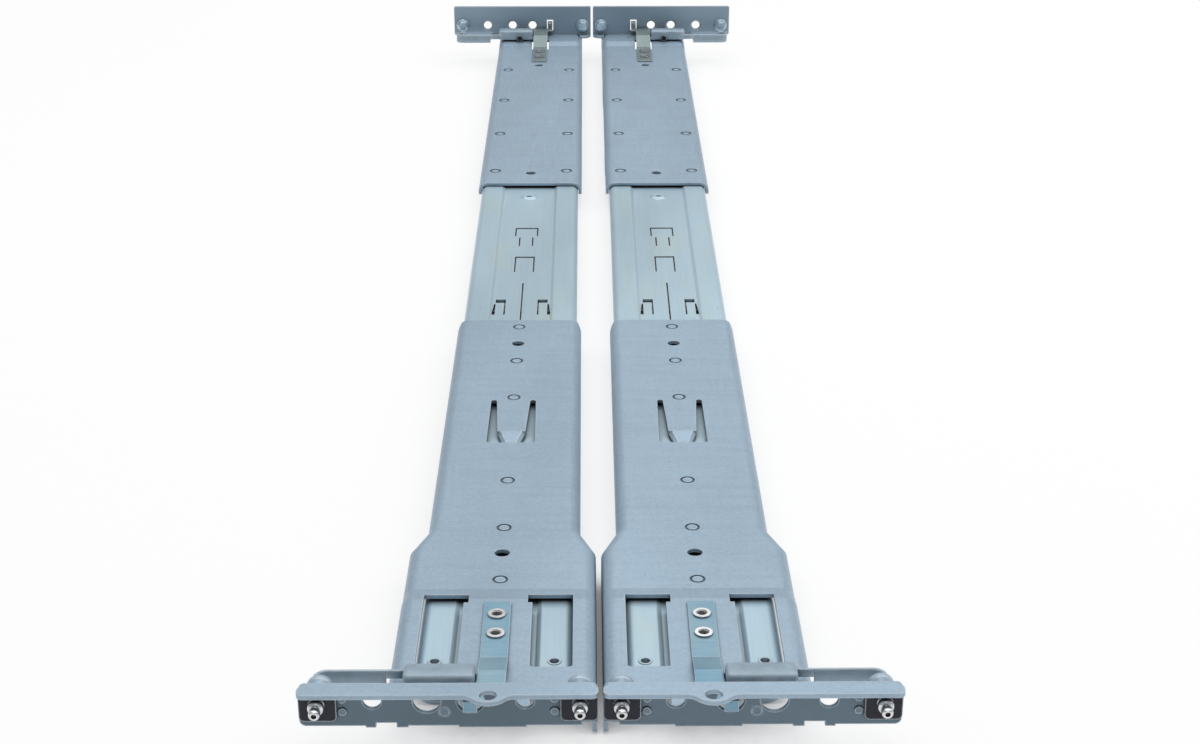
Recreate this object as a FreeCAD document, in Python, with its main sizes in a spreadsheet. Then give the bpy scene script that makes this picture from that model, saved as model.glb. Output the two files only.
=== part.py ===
import FreeCAD, Part
import os
import Sketcher
from FreeCAD import Placement, Rotation, Vector

# Sliding server rail pair: two ball-bearing rack rails lying side by side, outboard faces up.
# X runs across the pair, Y runs from the rack front to the rack rear, Z is up.
# Each piece is modelled in its rail's own frame (X from the rail's centreline, positive towards the
# other rail), then set out by its Placement; the right rail is the mirror image of the left.

doc = FreeCAD.newDocument("ServerRailPair")
sheet = doc.addObject("Spreadsheet::Sheet", "Sizes")

SIZES = {
    # overall
    "rail_length": 790, "rail_gap": 0.7,
    # galvanised sheet of both brackets
    "sheet_wall": 1.5, "bend_radius": 4.5,
    # outer slide channel
    "tube_radius": 6, "tube_shoulder": 3, "tube_place": 18.4, "channel_wall": 1.3, "web_drop": 1,
    "web_half": 12.4,
    "race_lip": 2, "web_blend": 1.6, "channel_front": 31, "channel_end": 740,
    "tube_hole": 1.5, "tube_hole_y": 36, "tube_hole_rim": 0.6, "tube_hole_rise": 0.3,
    # lances in the channel's web
    "finger_catch": 4, "finger_catch_length": 6, "lance_cut": 0.6, "lance_gap": 1.8,
    "bridge_y": 479, "bridge_half": 4.2,
    "bridge_rise": 0.95, "bridge_length": 4, "bridge_wall": 0.6,
    "tongue_a_near": 421.6, "tongue_a_far": 433.6, "tongue_a_width": 11,
    "tongue_b_near": 374, "tongue_b_far": 394, "tongue_b_width": 9.2,
    "tab_near": 408, "tab_far": 420, "tab_width": 6.8, "slit_near": 312, "slit_far": 360,
    "hook_lance_near": 322, "hook_lance_far": 340, "hook_lance_gap": 4, "hook_lance_in": 7,
    "hook_lance_out": 11.4, "hook_lance_flare": 1.4,
    # balls, cages and middle member
    "ball_radius": 2.2, "ball_gap": 0.12, "ball_pitch": 72, "balls_per_row": 2, "cage_wall": 0.5,
    "cage_gap": 0.2, "cage_drop": 2.8, "cage_start": 330,
    "middle_wall": 1.3, "middle_gap": 1, "middle_foot": 3.2, "middle_front": 34, "middle_end": 736,
    "middle_slot": 4, "middle_slot_length": 40,
    "middle_slot_a": 70, "middle_slot_b": 560, "middle_slot_c": 660,
    # front bracket
    "plate_gap": 0.3, "step_up": 1.4, "cover_gap": 0.35, "step_out": 5.25,
    "taper_start": 106, "taper_end": 120.5, "jog_start": 69, "jog_end": 78, "front_end": 309,
    "wall_drop": 6, "foot_drop": 13, "corner_cut": 8.5, "corner_run": 3.5,
    "window_in": 11, "window_out": 24, "window_start": 28, "window_end": 72.8, "window_corner": 1,
    "pilot_hole": 2.63, "clinch_radius": 2.35, "clinch_pitch": 36.2, "clinch_start": 84.2,
    "finger_start": 188, "finger_end": 226.5, "finger_half": 9.1, "finger_root": 6.5, "finger_slot": 2.2,
    "finger_bend": 198, "finger_waist": 5.3, "finger_flat": 3.9, "finger_tip_gap": 1.5,
    "finger_tip_half": 3, "finger_tip_flat": 1.4, "finger_tip_wall": 1,
    "clinch_depth": 0.35, "clinch_button": 1.85, "notch_length": 6, "notch_depth": 1.5,
    "wall_setback": 14.5, "tongue_flange": 2,
    # flanges
    "flange_out": 55.2, "flange_margin": 0.2, "hole_rise": 5.8, "pin_out": 49.8, "pin_in": 26.4,
    "lip_rise": 5.3, "lip_reach": 5.2, "lip_hole": 2.6, "bulge_reach": 8.8, "bulge_half": 4.4,
    "bulge_blend": 3.4,
    "large_hole": 4.1, "small_hole": 2.7, "hole_mid_a": 5.35, "hole_mid_b": 18.05,
    "hole_small_a": 10.525, "hole_small_b": 33.925, "rear_rise": 12, "rear_hole": 2.55,
    "flange_corner": 2, "rear_corner": 1, "flange_skirt": 1, "gusset": 5.4, "gusset_length": 7,
    "edge_tab": 0.6, "edge_tab_a": -36, "edge_tab_a_width": 12.4, "edge_tab_b": -8.9,
    "edge_tab_b_width": 19.7,
    "relief_end": 13.5, "relief_hook_start": 4, "relief_hook_a": -8.2, "relief_hook_b": -1.6,
    "relief_in": 11.5, "relief_edge": 29, "rear_ring": 3.35, "rear_ring_depth": 0.35,
    # pins
    "pin_radius": 2.4, "pin_length": 8, "pin_neck": 1.7, "pin_clearance": 0.05,
    "pin_taper": 0.6, "pin_step": 4, "pin_tail": 4.2, "pin_tail_wall": 7.5,
    "pin_recess": 0.7, "pin_recess_depth": 1,
    "pin_plate_half": 6.2, "pin_plate_wall": 1, "pin_plate_width": 11, "plate_rivet": 1.25,
    "pin_plate_corner": 1.6, "pin_plate_trim": 0.1, "plate_rivet_gap": 0.4, "plate_rivet_half": 2.1,
    "plate_rivet_drop": 1.2,
    "plate_rivet_head": 0.5,
    "washer_radius": 4.1, "washer_wall": 0.8, "hex_across": 5.4, "hex_height": 2.4,
    # strap springs
    "strap_wall": 0.7, "strap_half": 4.35, "front_strap_start": 66.2, "rear_strap_start": 64,
    "front_rivet_a": 58, "front_rivet_b": 46.2, "rear_rivet_a": 54, "rear_rivet_b": 41.5,
    "rivet_head": 2.9, "rivet_hole": 1.7, "rivet_wall": 0.5, "rivet_fit": 0.08, "rivet_head_wall": 0.6,
    "front_crease": 32.2, "rear_crease": 30, "crease_gap": 0.1, "shelf_rise": 3.1, "shelf_start": 20,
    "riser_gap": 0.5,
    "ear_length": 7, "hook_reach": 3, "hook_drop": 3.6, "nose_rise": 1.6,
    "front_nose_half": 2.1, "rear_nose_half": 1.5,
    # levers
    "lever_wall": 1, "lever_near": 12, "lever_far": 20, "lever_pivot": 13, "lever_pivot_drop": 3.7,
    "lever_tip": 4.8, "lever_nose": 2.5, "lever_shoulder": 26.2, "lever_end": 53, "lever_top": 1,
    "lever_bar_drop": 1.5, "lever_bar": 5.2, "lever_corner": 1.5, "lever_low_wall": 2.6,
    "lever_clear": 3, "lever_swing_gap": 1.5, "lever_fit": 0.1, "lever_pin": 1.5,
    "lever_gap": 0.3, "lever_head": 2, "lever_head_wall": 0.8,
    # rear bracket
    "rear_length": 296.6, "dimple_start": 276.8, "dimple_pitch": 65, "dimple_rows": 4,
    "dimple_radius": 2.7, "rear_jog_start": 26, "rear_jog_end": 20, "rear_pilot_a": 280.4,
    "rear_pilot_b": 70.9, "guide_tab": 26, "guide_near": 90, "guide_far": 220, "guide_catch": 0.8,
    "guide_bottom": 1.1, "strap_window_gap": 1, "rear_window_start": 34, "rear_window_end": 16,
    "rear_slit": 1.2, "base_slot_start": 9, "base_slot_end": 6.5, "base_slot_reach": 9.5,
    "rear_slot_x": 5.8, "rear_slot_half": 2, "rear_slot_half_height": 3.5,
}
GROOVE_HALF = 0.7                               # height of a ball groove's half over its radius
GROOVE_RISE = 1 - (1 - GROOVE_HALF ** 2) ** 0.5  # depth of that groove over its radius
INNER_GROOVE = 0.75                             # the groove's inner face against its outer one
HEX_CORNER = 2 / 3 ** 0.5                       # corner radius of a hexagon over its flat radius
CLINCH_STEPS = (0, 1, 2, 4, 5, 6)               # the finger takes the place of the fourth clinch
PILOT_STEPS = (0.5, 5.5)                        # pilot holes halfway between two clinches
for row, (name, value) in enumerate(SIZES.items(), start=1):
    sheet.set("A%d" % row, name)
    sheet.set("B%d" % row, str(value))
    sheet.setAlias("B%d" % row, name)
doc.recompute()


class Size:
    """A length with both its number and the sheet expression that it comes from."""

    def __init__(self, value, text):
        self.value = float(value)
        self.text = text

    def __add__(self, other):
        other = as_size(other)
        return Size(self.value + other.value, "(%s + %s)" % (self.text, other.text))

    def __sub__(self, other):
        other = as_size(other)
        return Size(self.value - other.value, "(%s - %s)" % (self.text, other.text))

    def __mul__(self, factor):
        factor = as_size(factor)
        return Size(self.value * factor.value, "(%s * %s)" % (self.text, factor.text))

    def __truediv__(self, factor):
        factor = as_size(factor)
        return Size(self.value / factor.value, "(%s / %s)" % (self.text, factor.text))

    def __neg__(self):
        return Size(-self.value, "(0 - %s)" % self.text)

    def __radd__(self, other):
        return as_size(other) + self

    def __rsub__(self, other):
        return as_size(other) - self

    __rmul__ = __mul__


def as_size(value):
    return value if isinstance(value, Size) else Size(value, "%g" % value)


def size(name):
    return Size(sheet.get(name), "Sizes." + name)


def new_body(name):
    body = doc.addObject("PartDesign::Body", name)
    body.Label = name
    return body


def bind(item, path, length):
    item.setExpression(path, as_size(length).text)


def locate(sketch, geo, pos, x, y):
    """Hold one point of the sketch at (x, y) from the sketch's origin."""
    for kind, axis, length in (("DistanceX", -2, as_size(x)), ("DistanceY", -1, as_size(y))):
        if length.text == "0":
            sketch.addConstraint(Sketcher.Constraint("PointOnObject", geo, pos, axis))
        else:
            held = sketch.addConstraint(Sketcher.Constraint(kind, -1, 1, geo, pos, length.value))
            bind(sketch, "Constraints[%d]" % held, length)


def draw_circle(sketch, x, y, radius):
    centre = Vector(as_size(x).value, as_size(y).value, 0)
    geo = sketch.addGeometry(Part.Circle(centre, Vector(0, 0, 1), as_size(radius).value), False)
    locate(sketch, geo, 3, x, y)
    held = sketch.addConstraint(Sketcher.Constraint("Radius", geo, as_size(radius).value))
    bind(sketch, "Constraints[%d]" % held, radius)


def arc_between(start, end, radius):
    """An arc of up to half a turn; a positive radius turns left from start to end."""
    chord = end - start
    across = Vector(-chord.y, chord.x, 0).normalize()
    rise = max(radius * radius - chord.Length ** 2 / 4, 0) ** 0.5
    side = 1 if radius > 0 else -1
    centre = (start + end) / 2 + across * rise * side
    turns = [Vector(1, 0, 0).getAngle(p - centre) * (1 if p.y >= centre.y else -1) for p in (start, end)]
    first, last = turns if radius > 0 else reversed(turns)
    if last <= first:
        last += 6.283185307179586
    return Part.ArcOfCircle(Part.Circle(centre, Vector(0, 0, 1), abs(radius)), first, last)


def draw_loop(sketch, corners):
    """A closed outline; a corner (x, y, r) leaves it on an arc of radius r, (x, y) on a line."""
    points = [Vector(as_size(c[0]).value, as_size(c[1]).value, 0) for c in corners]
    ends = []
    for number, corner in enumerate(corners):
        start, end = points[number], points[(number + 1) % len(points)]
        if len(corner) == 3:
            radius = as_size(corner[2])
            geo = sketch.addGeometry(arc_between(start, end, radius.value), False)
            held = sketch.addConstraint(Sketcher.Constraint("Radius", geo, abs(radius.value)))
            bind(sketch, "Constraints[%d]" % held, radius if radius.value > 0 else -radius)
            ends.append((geo, 1, 2) if radius.value > 0 else (geo, 2, 1))
        else:
            geo = sketch.addGeometry(Part.LineSegment(start, end), False)
            ends.append((geo, 1, 2))
    for number, corner in enumerate(corners):
        geo, first, _ = ends[number]
        before, _, last = ends[number - 1]
        sketch.addConstraint(Sketcher.Constraint("Coincident", before, last, geo, first))
        locate(sketch, geo, first, corner[0], corner[1])


def new_sketch(body, role, start, loops):
    """A sketch on the body's own plane, moved to start along X, Y or Z."""
    sketch = body.newObject("Sketcher::SketchObject", body.Name + "_outline")
    plane = next(item for item in body.Origin.OriginFeatures if item.Role == role)
    sketch.AttachmentSupport = [(plane, "")]
    sketch.MapMode = "FlatFace"
    offset = -as_size(start) if role == "XZ_Plane" else as_size(start)
    bind(sketch, "AttachmentOffset.Base.z", offset)
    for loop in loops:
        if isinstance(loop, tuple):
            draw_circle(sketch, *loop)
        else:
            draw_loop(sketch, loop)
    return sketch


def extrude(body, kind, role, start, end, loops):
    """Pad or pocket the loops from start to end along the plane's axis, in its positive sense."""
    sketch = new_sketch(body, role, start, loops)
    feature = body.newObject("PartDesign::" + kind, body.Name + "_" + kind.lower())
    feature.Profile = sketch
    bind(feature, "Length", as_size(end) - as_size(start))
    feature.Reversed = (kind == "Pad") == (role == "XZ_Plane")
    return feature


def section(body, start, end, loops, kind="Pad"):
    return extrude(body, kind, "XZ_Plane", start, end, loops)


def plan(body, start, end, loops, kind="Pad"):
    return extrude(body, kind, "XY_Plane", start, end, loops)


def side(body, start, end, loops, kind="Pad"):
    return extrude(body, kind, "YZ_Plane", start, end, loops)


def loft(body, stations):
    """Join outlines that stand at several places along Y."""
    sketches = [new_sketch(body, "XZ_Plane", place, [loop]) for place, loop in stations]
    feature = body.newObject("PartDesign::AdditiveLoft", body.Name + "_loft")
    feature.Profile = sketches[0]
    feature.Sections = sketches[1:]
    feature.Ruled = True
    return feature


def box(x0, x1, y0, y1):
    return [(x0, y0), (x1, y0), (x1, y1), (x0, y1)]


def slot(x0, x1, y0, y1):
    """An upright opening whose two ends are full rounds, drawn in quarter turns."""
    reach = (as_size(x1) - as_size(x0)) / 2
    middle = (as_size(x0) + as_size(x1)) / 2
    return [(x1, y0 + reach), (x1, y1 - reach, reach), (middle, y1, reach), (x0, y1 - reach),
            (x0, y0 + reach, reach), (middle, y0, reach)]


def turned(body, x, z, profile):
    """A piece turned about an axis along Y at (x, z); the profile is a list of (y, radius)."""
    sketch = new_sketch(body, "YZ_Plane", x, [[(y, z + radius) for y, radius in profile]])
    low, high = as_size(profile[0][0]).value, as_size(profile[-1][0]).value
    level = as_size(z).value
    line = sketch.addGeometry(Part.LineSegment(Vector(low, level, 0), Vector(high, level, 0)), True)
    locate(sketch, line, 1, profile[0][0], z)
    locate(sketch, line, 2, profile[-1][0], z)
    feature = body.newObject("PartDesign::Revolution", body.Name + "_turned")
    feature.Profile = sketch
    feature.ReferenceAxis = (sketch, ["Axis0"])
    return feature


wall = size("sheet_wall")
bend = size("bend_radius")
front = -size("rail_length") / 2
rear = size("rail_length") / 2
crest = size("tube_radius") * 2
plate_bottom = crest + size("plate_gap")
plate_top = plate_bottom + wall
band_top = plate_top + size("step_up")
band_bottom = band_top - wall
wall_bottom = plate_top - size("wall_drop")
foot_bottom = plate_top - size("foot_drop")
narrow_half = size("tube_place") + size("tube_radius") + size("cover_gap") + wall
wide_half = narrow_half + size("step_out")
flange_in = wide_half + size("flange_margin")
rail_offset = flange_in + size("rail_gap")
level = band_top + size("hole_rise")
lip_top = level + size("lip_rise")
rear_top = level + size("rear_rise")


class End:
    """One end of the rail: distances run from the flange's outer face towards the rail's middle."""

    def __init__(self, name, face, inward):
        self.name, self.face, self.inward = name, face, inward

    def at(self, distance):
        return self.face + as_size(distance) * self.inward

    def span(self, first, last):
        places = [self.at(first), self.at(last)]
        return places if self.inward > 0 else places[::-1]


FRONT = End("front", front, 1)
REAR = End("rear", rear, -1)


def cover(half, top, outer_bottom, inner_bottom):
    """Cross-section of a bracket: a flat top whose two edges roll down into side walls."""
    return [
        (-half, outer_bottom), (-half, top - bend, -bend), (-half + bend, top),
        (half - bend, top, -bend), (half, top - bend), (half, inner_bottom),
        (half - wall, inner_bottom), (half - wall, top - bend, bend - wall),
        (half - bend, top - wall), (-half + bend, top - wall, bend - wall),
        (-half + wall, top - bend), (-half + wall, outer_bottom),
    ]


def make_front_bracket(body):
    narrow, wide = narrow_half, wide_half
    narrow_cover = cover(narrow, plate_top, wall_bottom, wall_bottom)
    wide_cover = cover(wide, plate_top, wall_bottom, foot_bottom)
    band_cover = cover(wide, band_top, wall_bottom, foot_bottom)
    section(body, FRONT.at(size("taper_end")), FRONT.at(size("front_end")), [narrow_cover])
    loft(body, [(FRONT.at(size("taper_start")), wide_cover), (FRONT.at(size("taper_end")), narrow_cover)])
    section(body, FRONT.at(size("jog_end")), FRONT.at(size("taper_start")), [wide_cover])
    loft(body, [(FRONT.at(size("jog_start")), band_cover), (FRONT.at(size("jog_end")), wide_cover)])
    section(body, FRONT.at(0), FRONT.at(size("jog_start")), [band_cover])
    section(body, FRONT.at(0), FRONT.at(wall),
            [flange_outline(band_bottom - size("flange_skirt"), lip_top, size("flange_corner"))])
    section(body, FRONT.at(0), FRONT.at(wall), [
        box(size(tab), size(tab) + size(tab + "_width"),
            band_bottom - size("flange_skirt") - size("edge_tab"), band_top)
        for tab in ("edge_tab_a", "edge_tab_b")])
    plan(body, lip_top - wall, lip_top, [lip_outline()])
    plan(body, lip_top - wall * 2, lip_top + wall,
         [(0, FRONT.at(-size("lip_reach")), size("lip_hole"))], "Pocket")
    section(body, FRONT.at(0), FRONT.at(wall * 2), front_flange_holes(), "Pocket")
    rivet_holes(body, FRONT, band_bottom)
    corner = size("corner_cut")
    far = FRONT.at(size("front_end"))
    edge = narrow + wall
    plan(body, 0, band_top + wall, [
        [(sign * (edge - size("corner_run")), far + wall), (sign * edge, far + wall),
         (sign * edge, far - corner)] for sign in (-1, 1)], "Pocket")
    clear = wide + wall
    setback = FRONT.at(size("wall_setback"))
    plan(body, foot_bottom - wall, band_bottom, [
        box(sign * (wide - bend), sign * clear, FRONT.at(-wall), setback) for sign in (-1, 1)], "Pocket")
    section(body, FRONT.at(0), FRONT.at(wall), [box(-wide, wide, band_bottom, band_top)])
    band_reliefs(body)
    make_windows(body)
    plan(body, plate_bottom - wall, band_top + wall,
         [(0, FRONT.at(size("clinch_start") + size("clinch_pitch") * step), size("pilot_hole"))
          for step in PILOT_STEPS], "Pocket")
    plan(body, plate_bottom - wall, plate_top + wall, finger_outline(), "Pocket")
    finger_nose(body)
    for step in CLINCH_STEPS:
        clinch(body, 0, FRONT.at(size("clinch_start") + size("clinch_pitch") * step), size("clinch_radius"))


def clinch(body, x, y, radius):
    """A clinched joint: a ring sunk into the sheet round a raised button."""
    plan(body, plate_top - size("clinch_depth"), plate_top + wall,
         [(x, y, radius), (x, y, size("clinch_button"))], "Pocket")


def flange_outline(bottom, top, turn):
    """The turned-up flange, rounded at its outer bottom corner and its two top corners."""
    low, high = -size("flange_out"), flange_in
    return [(low + turn, bottom), (high, bottom), (high, top - turn, turn), (high - turn, top),
            (low + turn, top, turn), (low, top - turn), (low, bottom + turn, turn)]


def band_reliefs(body):
    """Openings behind the flange, so that rack screws and the hook clear the band."""
    far = FRONT.at(size("relief_end"))
    plan(body, plate_bottom, band_top + wall, [
        box(size("edge_tab_a") + size("edge_tab_a_width"), size("edge_tab_b"), FRONT.at(wall), far),
        box(size("relief_hook_a"), size("relief_hook_b"), FRONT.at(size("relief_hook_start")), far),
        box(size("relief_in"), size("relief_edge"), FRONT.at(wall), far)], "Pocket")


def lip_outline():
    """The lip's front edge swells into a rounded bulge at the rail's centreline."""
    reach, swell = size("lip_reach"), size("bulge_reach") - size("lip_reach")
    half, shoulder = size("bulge_half"), size("bulge_half") + size("bulge_blend")
    rise = swell / 2
    outer, inner = sagitta_radius(half, rise), sagitta_radius(size("bulge_blend"), rise)
    turn = size("flange_corner")
    return [
        (-size("flange_out") + turn, FRONT.at(wall)), (-size("flange_out") + turn, FRONT.at(0), turn),
        (-size("flange_out"), FRONT.at(-turn)), (-size("flange_out"), FRONT.at(-reach + turn), turn),
        (-size("flange_out") + turn, FRONT.at(-reach)),
        (-shoulder, FRONT.at(-reach), -inner), (-half, FRONT.at(-reach - rise), outer),
        (half, FRONT.at(-reach - rise), -inner), (shoulder, FRONT.at(-reach)),
        (flange_in - turn, FRONT.at(-reach), turn), (flange_in, FRONT.at(-reach + turn)),
        (flange_in, FRONT.at(-turn), turn), (flange_in - turn, FRONT.at(0)),
        (flange_in - turn, FRONT.at(wall)),
    ]


def front_flange_holes():
    pin_hole = size("pin_neck") + size("pin_clearance")
    return [
        (size("hole_small_a"), level, size("small_hole")), (-size("hole_small_b"), level, size("small_hole")),
        (-size("hole_mid_a"), level, size("large_hole")), (-size("hole_mid_b"), level, size("large_hole")),
        (-size("pin_out"), level, pin_hole), (size("pin_in"), level, pin_hole), pivot_hole(),
    ] + [(x, z, size("plate_rivet") + size("rivet_fit")) for x, z in plate_rivet_places()]


def pivot_hole():
    return (-size("lever_pivot"), lever_axis(), size("lever_pin") + size("rivet_fit"))


def rivet_holes(body, end, bottom):
    """Holes in the bracket for the strap's two eyelets."""
    barrel = size("rivet_hole") + size("rivet_wall") + size("rivet_fit")
    plan(body, bottom - wall, bottom + wall * 2,
         [(0, end.at(size(end.name + name)), barrel) for name in ("_rivet_a", "_rivet_b")], "Pocket")


def make_windows(body):
    """Two windows over the channel's tubes, each with a relief notch by the jog."""
    inner, outer = size("window_in"), size("window_out")
    near, far = FRONT.at(size("window_start")), FRONT.at(size("window_end"))
    notch = FRONT.at(size("window_end") - size("notch_length"))
    deep, turn = inner - size("notch_depth"), size("window_corner")
    windows = []
    for sign in (-1, 1):
        windows.append([
            (sign * (inner + turn), near), (sign * (outer - turn), near, turn * sign),
            (sign * outer, near + turn), (sign * outer, far), (sign * deep, far), (sign * deep, notch),
            (sign * inner, notch), (sign * inner, near + turn, turn * sign)])
    plan(body, wall_bottom, band_top + wall, windows, "Pocket")
    flange_top = band_bottom + wall / 2
    for sign in (-1, 1):
        section(body, near + turn, notch, [box(sign * (inner - wall), sign * inner,
                                               band_bottom - size("tongue_flange"), flange_top)])


def finger_outline():
    """The slot that frees a tapered spring finger on three sides; its root is at the far end."""
    near, far = FRONT.at(size("finger_start")), FRONT.at(size("finger_end"))
    half, root, waist = size("finger_half"), size("finger_root"), size("finger_waist")
    bend_line, turn, slim = FRONT.at(size("finger_bend")), size("finger_slot") / 2, size("finger_slot")
    return [[
        (-half + turn, near), (half - turn, near, turn), (half, near + turn), (root + slim, far - turn, turn),
        (root + turn, far, turn), (root, far - turn), (waist, bend_line), (-waist, bend_line),
        (-root, far - turn, turn), (-root - turn, far, turn), (-root - slim, far - turn),
        (-half, near + turn, turn),
    ]]


def finger_nose(body):
    """The finger's tip dives towards the channel and narrows, with a sloping facet on each side."""
    seat = crest - size("web_drop") + size("plate_gap")
    stations = []
    for place, half, flat, low, high in (
            (size("finger_bend"), size("finger_waist"), size("finger_flat"), plate_bottom, plate_top),
            (size("finger_start") + size("finger_tip_gap"), size("finger_tip_half"), size("finger_tip_flat"),
             seat, seat + size("finger_tip_wall"))):
        stations.append((FRONT.at(place), [(-half, low), (half, low), (flat, high), (-flat, high)]))
    loft(body, stations)


def sagitta_radius(half, rise):
    return (half * half + rise * rise) / (rise * 2)


def make_outer_channel(body):
    """Two rounded raceways joined by a web that sits a little below their flat crests."""
    thick, outer = size("channel_wall"), size("tube_radius")
    inner = outer - thick
    place, web_top = size("tube_place"), crest - size("web_drop")
    edge = size("web_half")
    lip = size("race_lip")
    blend, turn = size("web_blend"), size("tube_shoulder")
    right = [
        (edge, web_top), (edge + blend, crest), (place + outer - turn, crest, -turn),
        (place + outer, crest - turn), (place + outer, outer, -outer),
        (place, 0), (place - lip, 0), (place - lip, thick), (place, thick, inner),
        (place + inner, outer), (place + inner, crest - turn, turn - thick),
        (place + outer - turn, crest - thick), (edge + blend, crest - thick), (edge, web_top - thick),
    ]
    section(body, FRONT.at(size("channel_front")), FRONT.at(size("channel_end")),
            [right + mirrored_points(right)])
    holes = [(sign * place, FRONT.at(size("tube_hole_y"))) for sign in (-1, 1)]
    plan(body, crest - thick, crest + size("tube_hole_rise"),
         [(x, y, size("tube_hole") + size("tube_hole_rim")) for x, y in holes])
    plan(body, crest - thick * 2, crest + thick, [(x, y, size("tube_hole")) for x, y in holes], "Pocket")
    plan(body, web_top - thick * 2, crest + thick, channel_lances(), "Pocket")
    half, rise, sheet_wall = size("bridge_half"), size("bridge_rise"), size("bridge_wall")
    inner_half, inner_rise = half - sheet_wall * 2, rise - sheet_wall
    section(body, FRONT.at(size("bridge_y")), FRONT.at(size("bridge_y") + size("bridge_length") / 2), [[
        (-half, web_top), (-inner_half, web_top, -sagitta_radius(inner_half, inner_rise)),
        (inner_half, web_top), (half, web_top, sagitta_radius(half, rise))]])


def mirrored_points(points):
    """The other half of a symmetric outline, walked backwards; arcs keep their hand."""
    back = []
    for number in range(len(points) - 1, -1, -1):
        x, y = points[number][0], points[number][1]
        edge = points[number - 1] if number else ()
        back.append((-x, y, edge[2]) if len(edge) == 3 else (-x, y))
    return back


def channel_lances():
    """Openings in the channel's web: bridge, finger catch, tongues, tab, centre slit, hook lances."""
    cut, gap = size("lance_cut"), size("lance_gap")
    reach, run = size("bridge_half") - size("bridge_wall") * 3, size("bridge_length") / 2
    catch, start = size("finger_catch"), FRONT.at(size("finger_start"))
    openings = [box(-reach, reach, FRONT.at(size("bridge_y")) - run, FRONT.at(size("bridge_y")) + run),
                box(-catch, catch, start - wall, start - wall + size("finger_catch_length"))]
    for tongue in ("tongue_a", "tongue_b"):
        half = size(tongue + "_width") / 2
        near, far = FRONT.at(size(tongue + "_near")), FRONT.at(size(tongue + "_far"))
        openings.append([
            (-half, near), (-half + cut, near), (-half + cut, far - gap), (half - cut, far - gap),
            (half - cut, near), (half, near), (half, far), (-half, far)])
    half = size("tab_width") / 2
    for sign in (-1, 1):
        openings.append(box(sign * half, sign * (half - cut), FRONT.at(size("tab_near")),
                            FRONT.at(size("tab_far"))))
    openings.append(box(-cut / 2, cut / 2, FRONT.at(size("slit_near")), FRONT.at(size("slit_far"))))
    near, far = FRONT.at(size("hook_lance_near")), FRONT.at(size("hook_lance_far"))
    inner, outer, flare = size("hook_lance_in"), size("hook_lance_out"), size("hook_lance_flare")
    bar = far - size("hook_lance_gap")
    for sign in (-1, 1):
        openings.append([
            (sign * inner, near), (sign * (inner + cut), near), (sign * (inner + cut), bar),
            (sign * outer, bar), (sign * outer, far), (sign * inner, far)])
        openings.append([
            (sign * outer, near), (sign * (outer + flare), near), (sign * (outer + cut), bar - flare),
            (sign * outer, bar - flare)])
    return openings


race_x = size("tube_place") + size("tube_radius") - size("channel_wall")
ball_x = race_x - size("ball_gap") - size("ball_radius")
ball_z = size("tube_radius")
web_bottom = crest - size("web_drop") - size("channel_wall")
middle_top = web_bottom - size("middle_gap")


def make_middle_member(body):
    """A shallow channel whose two edges are grooved for the balls outside and hollow inside."""
    thick = size("middle_wall")
    groove = size("ball_radius") + size("ball_gap")
    half, rise = groove * GROOVE_HALF, groove * GROOVE_RISE
    edge = ball_x - groove + rise
    foot = size("middle_foot")
    inner_half = half * INNER_GROOVE
    right = [
        (edge, middle_top), (edge, ball_z + half, sagitta_radius(half, rise)), (edge, ball_z - half),
        (edge, foot), (edge - thick, foot),
        (edge - thick, ball_z - inner_half, -sagitta_radius(inner_half, rise)),
        (edge - thick, ball_z + inner_half), (edge - thick, middle_top - thick),
    ]
    section(body, FRONT.at(size("middle_front")), FRONT.at(size("middle_end")),
            [right + mirrored_points(right)])
    reach, run = size("middle_slot"), size("middle_slot_length")
    starts = [FRONT.at(size("middle_slot_" + which)) for which in "abc"]
    plan(body, 0, crest, [slot(-reach, reach, start, start + run) for start in starts], "Pocket")


def make_ball_cage(body):
    """A folded strip over the middle member, pierced for one row of balls on each side."""
    thick = size("cage_wall")
    outer = ball_x + thick / 2
    top, foot = web_bottom - size("cage_gap"), ball_z - size("cage_drop")
    start = FRONT.at(size("cage_start"))
    section(body, start, start + size("ball_pitch") * size("balls_per_row"), [[
        (-outer, foot), (-outer, top), (outer, top), (outer, foot), (outer - thick, foot),
        (outer - thick, top - thick), (-outer + thick, top - thick), (-outer + thick, foot)]])
    hole = side(body, -outer - thick, outer + thick,
                [(start + size("ball_pitch") / 2, ball_z, size("ball_radius") + size("ball_gap"))], "Pocket")
    repeat(body, hole, size("ball_pitch"), size("balls_per_row"))


def repeat(body, feature, pitch, count):
    """Repeat a feature along Y; the body ends in the pattern."""
    doc.recompute()
    pattern = body.newObject("PartDesign::LinearPattern", body.Name + "_row")
    pattern.Originals = [feature]
    axis = next(item for item in body.Origin.OriginFeatures if item.Role == "Y_Axis")
    pattern.Direction = (axis, [""])
    pattern.Mode = "Spacing"
    bind(pattern, "Offset", pitch)
    bind(pattern, "Occurrences", count)
    body.Tip = pattern
    return pattern


def make_balls(name):
    """Two rows of balls, one on each side of the middle member."""
    balls = []
    count = int(size("balls_per_row").value)
    for sign in (-1, 1):
        for number in range(count):
            ball = doc.addObject("Part::Sphere", name + "_ball")
            bind(ball, "Radius", size("ball_radius"))
            bind(ball, "Placement.Base.x", sign * ball_x - rail_offset)
            bind(ball, "Placement.Base.y",
                 FRONT.at(size("cage_start")) + size("ball_pitch") * (number + 0.5))
            bind(ball, "Placement.Base.z", ball_z)
            balls.append(ball)
    group = doc.addObject("Part::Compound", name)
    group.Label = name
    group.Links = balls
    return group


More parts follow.
